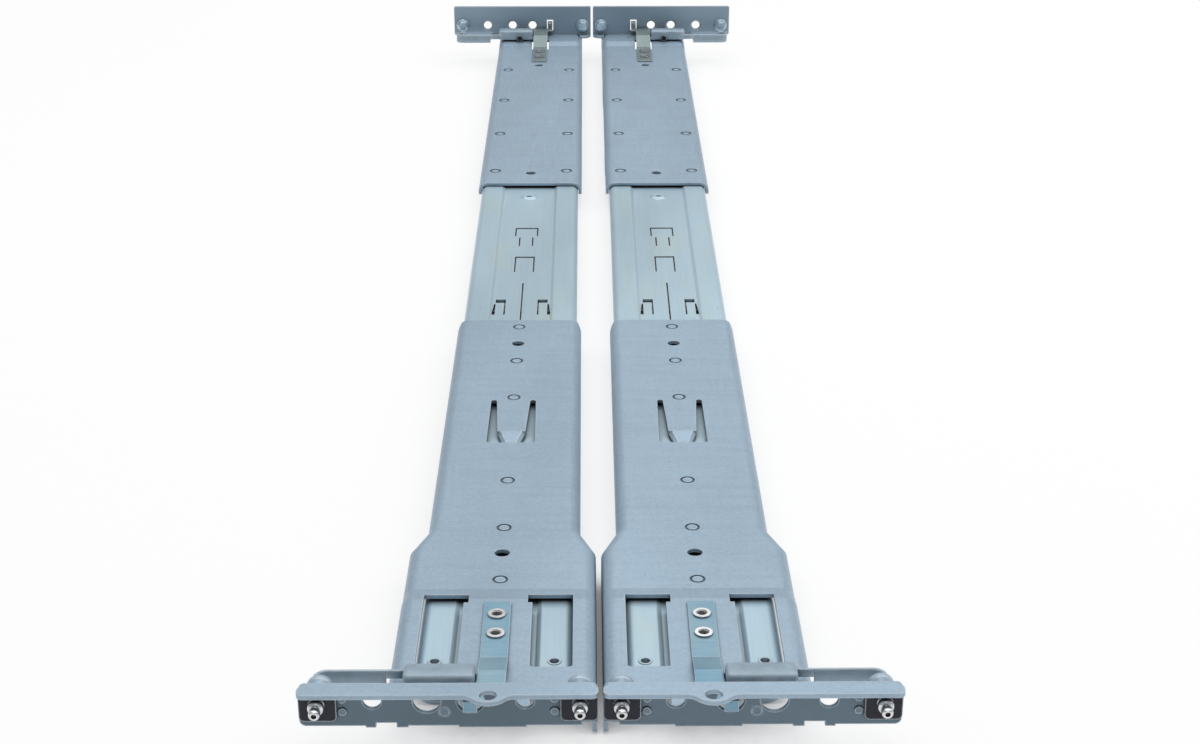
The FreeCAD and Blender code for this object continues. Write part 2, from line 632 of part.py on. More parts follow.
def make_rear_bracket(body):
    half = narrow_half
    flat = cover(half, plate_top, wall_bottom, wall_bottom)
    band = cover(half, band_top, wall_bottom, wall_bottom)
    section(body, REAR.at(size("rear_length")), REAR.at(size("rear_jog_start")), [flat])
    loft(body, [(REAR.at(size("rear_jog_start")), flat), (REAR.at(size("rear_jog_end")), band)])
    section(body, REAR.at(size("rear_jog_end")), REAR.at(0), [band])
    section(body, REAR.at(wall), REAR.at(0),
            [flange_outline(band_bottom + size("flange_skirt"), rear_top, size("rear_corner"))])
    gusset, run = size("gusset"), size("gusset_length")
    corner = half - wall
    plan(body, band_bottom, band_top, [
        [(-corner, REAR.at(0)), (-corner, REAR.at(run)), (-half, REAR.at(run), -gusset),
         (-half - gusset, REAR.at(run - gusset)), (-half - gusset, REAR.at(0))],
        [(corner, REAR.at(0)), (half + gusset, REAR.at(0)), (half + gusset, REAR.at(run - gusset), -gusset),
         (half, REAR.at(run)), (corner, REAR.at(run))]])
    tab, catch = size("guide_tab"), size("guide_bottom")
    lip = size("tube_place") + size("tube_radius") - size("guide_catch")
    for place in (size("guide_near"), size("guide_far")):
        for sign in (-1, 1):
            section(body, REAR.at(place + tab), REAR.at(place), [[
                (sign * half, wall_bottom), (sign * half, catch), (sign * lip, catch),
                (sign * lip, catch + wall), (sign * (half - wall), catch + wall),
                (sign * (half - wall), wall_bottom)]])
    section(body, REAR.at(wall * 2), REAR.at(wall - size("rear_ring_depth")),
            [(-size(name), level, size("rear_ring"))
             for name in ("hole_small_b", "hole_mid_b", "hole_mid_a")], "Pocket")
    section(body, REAR.at(wall * 2), REAR.at(-wall), rear_flange_holes(), "Pocket")
    plan(body, plate_bottom - wall, band_top + wall,
         [(0, REAR.at(size("rear_pilot_" + which)), size("pilot_hole")) for which in "ab"], "Pocket")
    rivet_holes(body, REAR, plate_bottom)
    slit, edge = size("rear_slit"), size("strap_half") + size("strap_window_gap")
    slits = []
    for sign in (-1, 1):
        slits.append(box(sign * (edge - slit), sign * edge, REAR.at(size("rear_window_start")),
                         REAR.at(size("rear_window_end"))))
        slits.append(box(sign * edge, sign * size("base_slot_reach"), REAR.at(size("base_slot_start")),
                         REAR.at(size("base_slot_end"))))
    plan(body, plate_bottom - wall, band_top + wall, slits, "Pocket")
    for number in range(int(size("dimple_rows").value)):
        for sign in (-1, 1):
            clinch(body, sign * size("tube_place"),
                   REAR.at(size("dimple_start") - size("dimple_pitch") * number), size("dimple_radius"))


def rear_flange_holes():
    pin_hole = size("pin_neck") + size("pin_clearance")
    wide = size("rear_slot_half")
    return [
        (-size("hole_small_b"), level, size("rear_hole")), (-size("hole_mid_b"), level, size("rear_hole")),
        (-size("hole_mid_a"), level, size("rear_hole")),
        (-size("pin_out"), level, pin_hole), (size("pin_in"), level, pin_hole), pivot_hole(),
        box(size("rear_slot_x") - wide, size("rear_slot_x") + wide, level - size("rear_slot_half_height"),
            level + size("rear_slot_half_height")),
    ]


def make_strap(body, end, base):
    """The riveted, flat stretch of the strap spring."""
    half, thick = size("strap_half"), size("strap_wall")
    start = size(end.name + "_strap_start")
    plan(body, base, base + thick, [box(-half, half, *end.span(size(end.name + "_crease"), start))])
    barrel = size("rivet_hole") + size("rivet_wall") + size("rivet_fit")
    plan(body, base - thick, base + thick * 2,
         [(0, end.at(size(end.name + name)), barrel) for name in ("_rivet_a", "_rivet_b")], "Pocket")


def make_strap_rivets(body, end, bottom, base):
    """Two eyelets whose heads hold the strap down."""
    hole, barrel = size("rivet_hole"), size("rivet_hole") + size("rivet_wall")
    top = base + size("strap_wall")
    for name in ("_rivet_a", "_rivet_b"):
        place = end.at(size(end.name + name))
        plan(body, bottom, top + size("rivet_head_wall"), [(0, place, barrel)])
        plan(body, top, top + size("rivet_head_wall"), [(0, place, size("rivet_head"))])
        plan(body, bottom - wall, top + wall, [(0, place, hole)], "Pocket")


def make_hook(body, end, base, nose_x, nose_half, nose_rise):
    """The free end of the strap: it climbs to a shelf and turns out through the flange as a hook."""
    half, thick = size("strap_half"), size("strap_wall")
    shelf = band_top + size("shelf_rise")
    near = wall + size("riser_gap")
    nose_top = level + nose_rise
    crease, ramp = size(end.name + "_crease") - size("crease_gap"), size("shelf_start")
    side(body, -half, half, [[
        (end.at(crease), base), (end.at(crease), base + thick), (end.at(ramp), shelf + thick),
        (end.at(near), shelf + thick), (end.at(near), shelf), (end.at(ramp), shelf)]])
    low, high = nose_x - nose_half, nose_x + nose_half
    ear = (low, 0) if nose_x.value < 0 else (0, high)
    plan(body, shelf, shelf + thick, [box(*ear, *end.span(near, size("ear_length")))])
    section(body, *end.span(near, near + thick), [box(low, high, shelf, nose_top)])
    plan(body, nose_top - thick, nose_top, [box(low, high, *end.span(-size("hook_reach"), near + thick))])
    section(body, *end.span(-size("hook_reach"), -size("hook_reach") + thick),
            [box(low, high, nose_top - size("hook_drop"), nose_top)])


def make_lever(body, end):
    """A folded lever: two walls joined by a cover over the pivot and a finger tab at the outer end."""
    thick = size("lever_wall")
    shoulder, tip, outer = size("lever_shoulder"), size("lever_tip"), size("lever_end")
    top, bar_top = level + size("lever_top"), level - size("lever_bar_drop")
    low = band_top + size("lever_gap")
    turn, clear = size("lever_corner"), size("lever_clear")
    profile = [
        (-tip, low), (-size("lever_nose"), low + size("lever_gap")), (-size("lever_nose"), lever_catch()),
        (-tip, lever_catch()), (-tip, top - turn, turn), (-tip - turn, top), (-shoulder + turn, top, turn),
        (-shoulder, top - turn), (-shoulder, bar_top), (-outer + turn, bar_top, turn),
        (-outer, bar_top - turn), (-outer, bar_top - size("lever_bar")),
        (-wide_half - clear, bar_top - size("lever_bar")),
        (-wide_half - clear / 2, low + size("lever_swing_gap")), (-size("lever_pivot"), low),
    ]
    near, far = size("lever_near"), size("lever_far")
    for start, stop in ((near, near + thick), (far - thick, far)):
        section(body, *end.span(start, stop), [profile])
    section(body, *end.span(near, far), [box(-shoulder + turn, -tip - turn, top - thick, top)])
    section(body, *end.span(near, far), [box(-tip - thick, -tip, lever_catch(), top - turn)])
    section(body, *end.span(near - thick, near + thick), [
        box(-outer + thick, -shoulder - thick, bar_top - size("lever_low_wall"), bar_top + thick)], "Pocket")
    section(body, *end.span(near, far), [box(-outer, -outer + thick, bar_top - size("lever_bar"), bar_top)])
    section(body, *end.span(near - thick, far + thick),
            [(-size("lever_pivot"), lever_axis(), size("lever_pin") + size("lever_fit"))], "Pocket")


def lever_axis():
    return level - size("lever_pivot_drop")


def lever_catch():
    """The lever's nose stops just under the strap's shelf."""
    return band_top + size("shelf_rise") - size("lever_gap")


def make_lever_pivot(body, end):
    """A shoulder rivet set in the flange; its head keeps the lever on."""
    place = -size("lever_pivot")
    reach = size("lever_far") + size("lever_gap")
    section(body, *end.span(0, reach), [(place, lever_axis(), size("lever_pin"))])
    section(body, *end.span(reach, reach + size("lever_head_wall")),
            [(place, lever_axis(), size("lever_head"))])


def make_front_pins(body):
    """Stepped locating pins, riveted through the flange from the front."""
    neck, shoulder = size("pin_neck"), size("pin_radius")
    plate = -size("pin_plate_wall")
    for x in (-size("pin_out"), size("pin_in")):
        turned(body, x, level, [
            (front - size("pin_length"), 0), (front - size("pin_length"), neck - size("pin_taper")),
            (front - size("pin_length") + size("pin_taper") * 2, neck), (front - size("pin_step"), neck),
            (front - size("pin_step") + size("pin_taper"), shoulder), (front + plate, shoulder),
            (front + plate, neck), (front + wall, neck), (front + wall, size("pin_tail")),
            (front + wall + size("pin_tail_wall"), size("pin_tail")),
            (front + wall + size("pin_tail_wall"), 0)])
        end = front - size("pin_length")
        section(body, end - wall, end + size("pin_recess_depth"), [(x, level, size("pin_recess"))], "Pocket")


def make_rear_pins(body):
    """Locating pins screwed through the flange: hex head and collar on the body side."""
    neck, shoulder = size("pin_neck"), size("pin_radius")
    inner = rear - wall
    for x in (-size("pin_out"), size("pin_in")):
        turned(body, x, level, [
            (inner - size("washer_wall"), 0), (inner - size("washer_wall"), size("washer_radius")),
            (inner, size("washer_radius")), (inner, neck), (rear, neck), (rear, shoulder),
            (rear + size("pin_step") - size("pin_taper"), shoulder), (rear + size("pin_step"), neck),
            (rear + size("pin_length") - size("pin_taper") * 2, neck),
            (rear + size("pin_length"), neck - size("pin_taper")), (rear + size("pin_length"), 0)])
        across = size("hex_across") / 2
        corner = across * HEX_CORNER
        section(body, inner - size("washer_wall") - size("hex_height"), inner - size("washer_wall"), [[
            (x + corner, level), (x + corner / 2, level + across), (x - corner / 2, level + across),
            (x - corner, level), (x - corner / 2, level - across), (x + corner / 2, level - across)]])


def make_pin_plates(body):
    """Two thin plates that back the front pins."""
    half, width = size("pin_plate_half"), size("pin_plate_width")
    turn = size("pin_plate_corner")
    hole = size("pin_neck") + size("pin_clearance")
    plates = ((-size("flange_out"), -size("flange_out") + width, -size("pin_out")),
              (flange_in - width, flange_in, size("pin_in")))
    for low, high, pin in plates:
        bottom, top = level - half, lip_top - wall - size("pin_plate_trim")
        section(body, front - size("pin_plate_wall"), front, [[
            (low + turn, bottom), (high - turn, bottom, turn), (high, bottom + turn),
            (high, top - turn, turn), (high - turn, top), (low + turn, top, turn),
            (low, top - turn), (low, bottom + turn, turn)]])
        section(body, front - wall * 2, front + wall, [(pin, level, hole)], "Pocket")


def plate_rivet_places():
    gap = size("pin_plate_width") + size("plate_rivet") + size("plate_rivet_gap")
    return [(x, level - size("plate_rivet_drop") + sign * size("plate_rivet_half"))
            for x in (-size("flange_out") + gap, flange_in - gap) for sign in (-1, 1)]


def make_plate_rivets(body):
    """Four small rivets beside the pin plates."""
    for x, z in plate_rivet_places():
        section(body, front - size("plate_rivet_head"), front + wall, [(x, z, size("plate_rivet"))])


BUILDERS = {
    "front_bracket": make_front_bracket,
    "outer_channel": make_outer_channel,
    "middle_member": make_middle_member,
    "ball_cage": make_ball_cage,
    "rear_bracket": make_rear_bracket,
    "front_strap": lambda body: make_strap(body, FRONT, band_top),
    "front_hook": lambda body: make_hook(body, FRONT, band_top, -size("hole_mid_a"), size("front_nose_half"),
                                         size("nose_rise")),
    "front_strap_rivets": lambda body: make_strap_rivets(body, FRONT, band_bottom, band_top),
    "front_lever": lambda body: make_lever(body, FRONT),
    "front_lever_pivot": lambda body: make_lever_pivot(body, FRONT),
    "front_pins": make_front_pins,
    "front_pin_plates": make_pin_plates,
    "front_plate_rivets": make_plate_rivets,
    "rear_strap": lambda body: make_strap(body, REAR, plate_top),
    "rear_hook": lambda body: make_hook(body, REAR, plate_top, size("rear_slot_x"), size("rear_nose_half"),
                                        size("nose_rise")),
    "rear_strap_rivets": lambda body: make_strap_rivets(body, REAR, plate_bottom, plate_top),
    "rear_lever": lambda body: make_lever(body, REAR),
    "rear_lever_pivot": lambda body: make_lever_pivot(body, REAR),
    "rear_pins": make_rear_pins,
}

pieces = {}
for name, builder in BUILDERS.items():
    piece = new_body("left_" + name)
    builder(piece)
    bind(piece, "Placement.Base.x", -rail_offset)
    pieces["left_" + name] = piece
pieces["left_balls"] = make_balls("left_balls")
doc.recompute()

for name, piece in list(pieces.items()):
    twin = doc.addObject("Part::Mirroring", name.replace("left_", "right_"))
    twin.Label = name.replace("left_", "right_")
    twin.Source = piece
    twin.Normal = Vector(1, 0, 0)
    pieces[twin.Label] = twin
doc.recompute()

failed = [item.Name for item in doc.Objects if "Invalid" in item.State or "Error" in item.State]
failed += [name for name, piece in pieces.items() if piece.Shape.isNull() or not piece.Shape.isValid()]
if failed:
    raise RuntimeError("objects that failed: " + ", ".join(failed))

os.makedirs("parts", exist_ok=True)
for name, piece in pieces.items():
    piece.Shape.exportStep("parts/%s.step" % name)
    print(name, len(piece.Shape.Solids), round(piece.Shape.Volume, 1))
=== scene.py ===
import math

import bmesh
import bpy
from bpy.props import FloatProperty, FloatVectorProperty, PointerProperty
from mathutils import Matrix, Vector


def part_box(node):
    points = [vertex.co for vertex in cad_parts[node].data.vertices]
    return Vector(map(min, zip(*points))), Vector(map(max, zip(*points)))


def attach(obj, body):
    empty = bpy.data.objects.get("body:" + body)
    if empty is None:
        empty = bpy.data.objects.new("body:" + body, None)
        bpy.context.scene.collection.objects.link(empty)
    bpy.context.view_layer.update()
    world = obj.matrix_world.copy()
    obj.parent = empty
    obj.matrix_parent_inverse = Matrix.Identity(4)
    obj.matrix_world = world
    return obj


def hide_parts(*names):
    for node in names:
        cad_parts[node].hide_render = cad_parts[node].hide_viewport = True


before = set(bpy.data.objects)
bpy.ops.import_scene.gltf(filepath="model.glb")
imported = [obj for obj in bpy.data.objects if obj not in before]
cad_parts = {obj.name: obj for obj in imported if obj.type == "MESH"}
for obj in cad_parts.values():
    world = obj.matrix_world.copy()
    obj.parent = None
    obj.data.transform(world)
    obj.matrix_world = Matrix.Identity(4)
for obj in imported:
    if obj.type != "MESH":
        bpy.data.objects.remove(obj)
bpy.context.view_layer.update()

bl_info = {
    "name": "Sliding server rail pair",
    "version": (1, 0, 0),
    "blender": (4, 5, 0),
    "location": "3D View > Sidebar > Server rails",
    "description": "Finishes, straps and fittings of a pair of ball-bearing rack rails",
    "category": "Object",
}

SIDES = ("left", "right")


# Sizes read from the frame -------------------------------------------------------------------------

def edges(node):
    """Lowest and highest corner of a CAD node, as vectors."""
    low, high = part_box(node)
    return Vector(low), Vector(high)


def centre_x(side):
    """Where a rail's centreline stands: the middle of its slide channel."""
    low, high = edges(side + "_outer_channel")
    return (low.x + high.x) / 2


FLANGE_FRONT = edges("left_front_pin_plates")[1].y
FLANGE_REAR = edges("left_rear_bracket")[1].y
LIP_UNDERSIDE = edges("left_front_pin_plates")[1].z
LEVER_TOP = edges("left_rear_lever")[1].z


# Sizes that the frame doesn't give, in metres ------------------------------------------------------

SHEET = 0.0015          # wall of the brackets' sheet
PLATE_GAP = 0.0003      # between the slide channel and the bracket plates over it
TUBE_PLACE = 0.0184     # from a rail's centreline to its tubes' tops

PIN_SHANK = 0.0024      # radius of a front pin where it is thickest
PIN_GROOVE = 0.00215    # radius of the grooves round it
PIN_HOUSING = 0.0042    # radius of the housing behind it
BOLT_WASHER = 0.0041    # radius of a rear bolt's washer
BOLT_HEX = 0.0031       # from the middle of its hexagon to a corner
EYELET_BORE = 0.0017    # radius of a strap eyelet's bore
EYELET_THREAD = 0.0005  # pitch of the thread in that bore

CLINCH_FIRST = 0.0842   # from the front flange to the front plate's first clinched joint
CLINCH_PITCH = 0.0362
CLINCH_STEPS = (0, 1, 2, 4, 5, 6)
DIMPLE_FIRST = 0.2768   # from the rear flange to the rear plate's farthest row of joints
DIMPLE_PITCH = 0.065
DIMPLE_ROWS = 4
BOSS_PLACE = 0.479      # from the front flange to the slide channel's stop boss
BOSS_DROP = 0.0013      # from the channel's top down to its web

# A lever's points are measured out from the rail's centreline, in from the flange, and down from
# the top of its cover.
LEVER_WALL = 0.0009     # sheet that the lever is folded from
LEVER_NEAR = 0.012      # in to the side next to the flange
LEVER_FAR = 0.02        # in to the other side
LEVER_FIT = 0.00005     # nose and eyes stand this far inside the cover's walls
NOSE_OUT, NOSE_REACH, NOSE_TOP, NOSE_FOOT = 0.0026, 0.005, 0.0041, 0.0060
COVER_OUT, COVER_REACH, COVER_FOOT, COVER_ROUND = 0.0048, 0.0214, 0.0056, 0.0014
EYE_OUT, EYE_DROP, EYE = 0.013, 0.0047, 0.0019
NECK_OUT, BAR_OUT, LOOP_OUT, LOOP_RETURN = 0.0248, 0.0316, 0.049, 0.0012
BAR_TOP, BAR_FOOT, LOW_TOP = 0.0025, 0.0077, 0.0051
FAR_NECK_FOOT, NEAR_NECK_TOP, NEAR_NECK_FOOT = 0.0054, 0.0046, 0.0056
SHARP = 0.6             # folds steeper than this, in radians, have their edges eased

LENS = 62.1             # millimetres, on a 36 mm sensor
CAMERA_TILT = math.radians(90 - 23.68)
CAMERA_PAN = math.radians(-0.40)
FLOOR_DROP = 0.0004     # keeps the floor clear of the rails' undersides
WORLD_LIGHT = 0.42
PAPER_GLOW = 0.7        # share of plain white in what the camera sees of the floor


# Settings ------------------------------------------------------------------------------------------

def colour(title, about, value):
    return FloatVectorProperty(name=title, description=about, subtype="COLOR", size=3, min=0, max=1,
                               default=value)


def length(title, about, value):
    return FloatProperty(name=title, description=about, subtype="DISTANCE", unit="LENGTH", default=value)


class RailFinishSettings(bpy.types.PropertyGroup):
    galvanised: colour("Galvanised sheet", "Body colour of the two brackets", (0.335, 0.445, 0.545))
    channel: colour("Slide channel", "Colour of the zinc-plated slide members", (0.44, 0.59, 0.68))
    # Painted shade: the darker colour of the front flange's upright face, which stands in shade; it is also
    # the base of the clinch rings and rivets.
    face: colour("Front face shade", "Duller grey of the front flange's upright face", (0.115, 0.165, 0.205))
    # Edge wear and painted highlight: bright metal along cut and rubbed edges, also lightened where an edge
    # would catch the light.
    wear_and_edge_highlight: colour("Edge wear and painted highlight", "Bright metal along cut and rubbed edges", (0.66, 0.75, 0.82))
    strap: colour("Front straps", "Colour of the blued front strap springs", (0.17, 0.36, 0.50))
    straw: colour("Straw tint", "Colour that the blue drifts towards", (0.27, 0.42, 0.50))
    rear_strap: colour("Rear straps", "Colour of the plain rear strap springs", (0.19, 0.26, 0.27))
    rear_straw: colour("Rear straw tint", "Colour that the rear straps drift towards", (0.24, 0.31, 0.31))
    lever: colour("Levers", "Colour of the release levers", (0.27, 0.36, 0.43))
    bright: colour("Bright parts", "Colour of pins, eyelets and balls", (0.72, 0.73, 0.75))
    plate: colour("Pin plates", "Colour of the dark pin plates", (0.012, 0.013, 0.022))
    grain: length("Grain", "Width of the fine rolling streaks in the sheet", 0.0006)
    edge: length("Edge", "Radius over which a sheet edge catches the light", 0.0006)


class RailStageSettings(bpy.types.PropertyGroup):
    camera_offset: length("Camera offset", "Sideways place of the camera from the pair's middle", -0.0038)
    camera_reach: length("Camera reach", "Distance of the camera in front of the front flanges", 0.5109)
    camera_height: length("Camera height", "Height of the camera over the floor", 0.349)
    floor_half: length("Floor", "Half the width of the floor", 4.0)


# Materials -----------------------------------------------------------------------------------------

# Ramps, as (position, level) stops
DRIFT = ((0.3, 0), (0.7, 1))            # from one colour wholly to another
STREAKS = ((0.35, 0.42), (0.65, 0.58))  # a faint lift and dip about middle grey
EDGE_GLEAM = ((0.93, 1), (0.9995, 0))   # by how far the rounded normal agrees with the face's own: wear and painted highlight along edges
CREVICE_SHADE_SPAN = (0.3, 0.85)                # share of open sky where the painted crevice shade is full and where it ends


class Finish:
    """A material under construction: a Principled shader fed by a few pattern nodes."""

    def __init__(self, name, metallic, roughness):
        self.material = bpy.data.materials.new(name)
        self.material.use_nodes = True
        self.tree = self.material.node_tree
        self.shader = self.tree.nodes["Principled BSDF"]
        self.shader.inputs["Metallic"].default_value = metallic
        self.shader.inputs["Roughness"].default_value = roughness
        self.place = self.node("ShaderNodeTexCoord").outputs["Object"]

    def node(self, kind, **settings):
        made = self.tree.nodes.new(kind)
        for key, value in settings.items():
            setattr(made, key, value)
        return made

    def link(self, source, target):
        self.tree.links.new(source, target)

    def noise(self, scale, stretch=(1, 1, 1), detail=3.0, rough=0.5):
        """Noise in metres: scale is cycles per metre, stretch divides it along each axis."""
        mapping = self.node("ShaderNodeMapping")
        mapping.inputs["Scale"].default_value = [scale / s for s in stretch]
        self.link(self.place, mapping.inputs["Vector"])
        noise = self.node("ShaderNodeTexNoise")
        noise.inputs["Scale"].default_value = 1
        noise.inputs["Detail"].default_value = detail
        noise.inputs["Roughness"].default_value = rough
        self.link(mapping.outputs["Vector"], noise.inputs["Vector"])
        return noise.outputs["Fac"]

    def ramp(self, source, stops):
        """Grey levels along a pattern: stops are (position, level)."""
        ramp = self.node("ShaderNodeValToRGB")
        while len(ramp.color_ramp.elements) < len(stops):
            ramp.color_ramp.elements.new(0.5)
        for element, (position, level) in zip(ramp.color_ramp.elements, stops):
            element.position = position
            element.color = (level, level, level, 1)
        self.link(source, ramp.inputs["Fac"])
        return ramp.outputs["Color"]

    def drift(self, pattern, first, second):
        """Wander from one colour to another along a pattern."""
        return self.mix(self.ramp(pattern, DRIFT), first, second)

    def mix(self, factor, first, second, kind="MIX"):
        """Blend two colours or sockets; factor is a number or a socket."""
        mix = self.node("ShaderNodeMix", data_type="RGBA", blend_type=kind)
        for socket, value in ((mix.inputs[0], factor), (mix.inputs[6], first), (mix.inputs[7], second)):
            if isinstance(value, bpy.types.NodeSocket):
                self.link(value, socket)
            elif isinstance(value, (int, float)):
                socket.default_value = value
            else:
                socket.default_value = (*value[:3], 1)
        return mix.outputs[2]

    def bump(self, source, strength, distance, normal):
        bump = self.node("ShaderNodeBump")
        bump.inputs["Strength"].default_value = strength
        bump.inputs["Distance"].default_value = distance
        self.link(source, bump.inputs["Height"])
        self.link(normal, bump.inputs["Normal"])
        return bump.outputs["Normal"]

    def soft_edges(self, radius):
        bevel = self.node("ShaderNodeBevel", samples=4)
        bevel.inputs["Radius"].default_value = radius
        return bevel.outputs["Normal"]

    def edge_mask(self, rounded):
        """How far the rounded normal leans from the face's own: the mask for wear and painted highlight
        along sheet edges.
        """
        own = self.node("ShaderNodeNewGeometry").outputs["True Normal"]
        dot = self.node("ShaderNodeVectorMath", operation="DOT_PRODUCT")
        self.link(rounded, dot.inputs[0])
        self.link(own, dot.inputs[1])
        return self.ramp(dot.outputs["Value"], EDGE_GLEAM)

    def maths(self, operation, first, second):
        node = self.node("ShaderNodeMath", operation=operation, use_clamp=True)
        for socket, value in zip(node.inputs, (first, second)):
            if isinstance(value, bpy.types.NodeSocket):
                self.link(value, socket)
            else:
                socket.default_value = value
        return node.outputs[0]

    def both(self, first, second):
        return self.maths("MULTIPLY", first, second)

    def fade(self, source, none, full):
        """0 where a value is at none, 1 where it is at full."""
        fade = self.node("ShaderNodeMapRange")
        self.link(source, fade.inputs["Value"])
        fade.inputs["From Min"].default_value = none
        fade.inputs["From Max"].default_value = full
        return fade.outputs["Result"]

    def within(self, axis, full, none):
        """1 on the full side of a plane across an axis and 0 past none."""
        split = self.node("ShaderNodeSeparateXYZ")
        self.link(self.place, split.inputs[0])
        return self.fade(split.outputs[axis], none, full)

    def handling_marks(self, depth):
        """Short dark scuffs along and across the rail, and a few dark specks."""
        along = self.ramp(self.noise(160, (0.25, 3, 1), 5, 0.7), ((0.69, 0), (0.73, depth)))
        across = self.ramp(self.noise(210, (3, 0.3, 1), 5, 0.7), ((0.71, 0), (0.74, depth)))
        specks = self.ramp(self.noise(650, (1, 1, 1), 1), ((0.77, 0), (0.80, depth)))
        return self.maths("ADD", self.maths("ADD", along, across), specks)

    def open_sky(self, reach):
        """How far a point is clear of other walls nearer than reach."""
        sky = self.node("ShaderNodeAmbientOcclusion")
        sky.inputs["Distance"].default_value = reach
        return sky

    def painted_crevice_shade(self, base, reach, depth):
        """Painted shade: darken the colour in slots, bores and inner corners, where little open sky
        reaches.
        """
        sky = self.open_sky(reach)
        sky.samples = 8
        shut, clear = CREVICE_SHADE_SPAN
        shade = self.ramp(sky.outputs["AO"], ((shut, depth), (clear, 1)))
        return self.mix(1.0, base, shade, "MULTIPLY")

    def finish(self, base, rough, edge, wear_and_edge_highlight, relief, crevice_shade=None):
        """Lighten the edges as wear and painted highlight, paint shade into the corners, raise the relief
        and close the material.
        """
        rounded = self.soft_edges(edge)
        # Edge wear and painted highlight: the edges take the lighter colour.
        base = self.mix(self.edge_mask(rounded), base, wear_and_edge_highlight)
        # Painted shade in the crevices, from ambient occlusion.
        if crevice_shade is not None:
            base = self.painted_crevice_shade(base, *crevice_shade)
        self.link(base, self.shader.inputs["Base Color"])
        self.link(rough, self.shader.inputs["Roughness"])
        self.link(self.bump(*relief, rounded), self.shader.inputs["Normal"])
        return self.material


def tint(value, factor):
    return tuple(min(1, channel * factor) for channel in value)


def galvanised_sheet(settings):
    """Hot-dip sheet: soft mottled zinc, rolling streaks along the rail, edges lightened as wear and painted
    highlight, and painted shade on the flange faces.
    """
    make = Finish("galvanised sheet", 0.42, 0.40)
    body, face = tuple(settings.galvanised), tuple(settings.face)
    cloud = make.noise(18, (1, 3, 1), 4)
    streak = make.noise(1 / settings.grain, (1, 40, 1), 2)
    speck = make.noise(900, (1, 1, 1), 2)
    drag = make.noise(130, (6, 0.5, 1), 5, 0.65)
    base = make.drift(cloud, tint(body, 0.92), tint(body, 1.08))
    base = make.mix(0.12, base, make.ramp(streak, STREAKS), "OVERLAY")
    base = make.mix(0.3, base, make.ramp(drag, ((0.3, 0.42), (0.6, 0.55))), "OVERLAY")
    base = make.mix(0.3, base, make.ramp(speck, ((0.3, 0.4), (0.7, 0.6))), "OVERLAY")
    base = make.mix(make.handling_marks(0.45), base, tint(body, 0.62))
    # Painted shade: the front flange's upright face, below the lip, takes the darker face colour.
    front = make.both(make.within("Y", FLANGE_FRONT + 0.0014, FLANGE_FRONT + 0.0017),
                      make.within("Z", LIP_UNDERSIDE - 0.0001, LIP_UNDERSIDE + 0.0001))
    base = make.mix(front, base, make.drift(cloud, face, tint(face, 1.25)))
    # Painted shade: the upper part of the rear flange is darkened the same way.
    rear = make.both(make.within("Y", FLANGE_REAR - 0.0014, FLANGE_REAR - 0.0017),
                     make.within("Z", LEVER_TOP - 0.0050, LEVER_TOP - 0.0055))
    base = make.mix(rear, base, make.drift(cloud, tint(body, 0.6), tint(body, 0.72)))
    rough = make.ramp(streak, ((0.3, 0.38), (0.7, 0.5)))
    return make.finish(base, rough, settings.edge, settings.wear_and_edge_highlight, (streak, 0.05, 0.0002), (0.0035, 0.22))


def zinc_plate(settings):
    """Bright zinc on the slide: cooler and lighter, with drawn streaks, straw patches and dark scuffs."""
    make = Finish("bright zinc plate", 0.35, 0.33)
    body = tuple(settings.channel)
    yellow = (body[0] * 1.12, body[1] * 1.02, body[2] * 0.84)
    cloud = make.noise(25, (1, 5, 1), 4)
    warm = make.noise(60, (1, 3, 1), 3)
    streak = make.noise(1 / settings.grain, (1, 80, 1), 2)
    base = make.drift(cloud, tint(body, 0.9), tint(body, 1.1))
    base = make.mix(make.ramp(warm, ((0.55, 0), (0.75, 0.6))), base, yellow)
    base = make.mix(0.2, base, make.ramp(streak, STREAKS), "OVERLAY")
    base = make.mix(make.handling_marks(0.8), base, tint(body, 0.4))
    rough = make.ramp(cloud, ((0.3, 0.28), (0.7, 0.4)))
    return make.finish(base, rough, settings.edge, settings.wear_and_edge_highlight, (streak, 0.06, 0.0002), (0.0035, 0.2))


def tempered_strap(name, body, straw, settings):
    """Plated spring steel: an even tint that drifts towards straw, with fine cross scratches."""
    make = Finish(name, 0.4, 0.32)
    drift = make.noise(45, (1, 2, 1), 2)
    cross = make.noise(700, (9, 1, 1), 3, 0.7)
    base = make.mix(make.ramp(drift, ((0.35, 0), (0.7, 1))), tint(body, 0.92), straw)
    base = make.mix(0.3, base, make.ramp(cross, ((0.35, 0.4), (0.65, 0.6))), "OVERLAY")
    base = make.mix(make.handling_marks(0.7), base, tint(body, 0.4))
    rough = make.ramp(drift, ((0.3, 0.26), (0.7, 0.38)))
    return make.finish(base, rough, settings.edge, settings.wear_and_edge_highlight, (cross, 0.05, 0.0001), (0.002, 0.2))


def plain_metal(name, body, metallic, roughness, scale, edge, wear_and_edge_highlight):
    """Small turned or stamped pieces: an even plated surface with fine speckle."""
    make = Finish(name, metallic, roughness)
    speck = make.noise(scale, (1, 1, 1), 3)
    base = make.drift(speck, tint(body, 0.86), tint(body, 1.12))
    rough = make.ramp(speck, ((0.3, roughness * 0.8), (0.7, min(1, roughness * 1.25))))
    return make.finish(base, rough, edge, wear_and_edge_highlight, (speck, 0.04, 0.0001), (0.0025, 0.15))


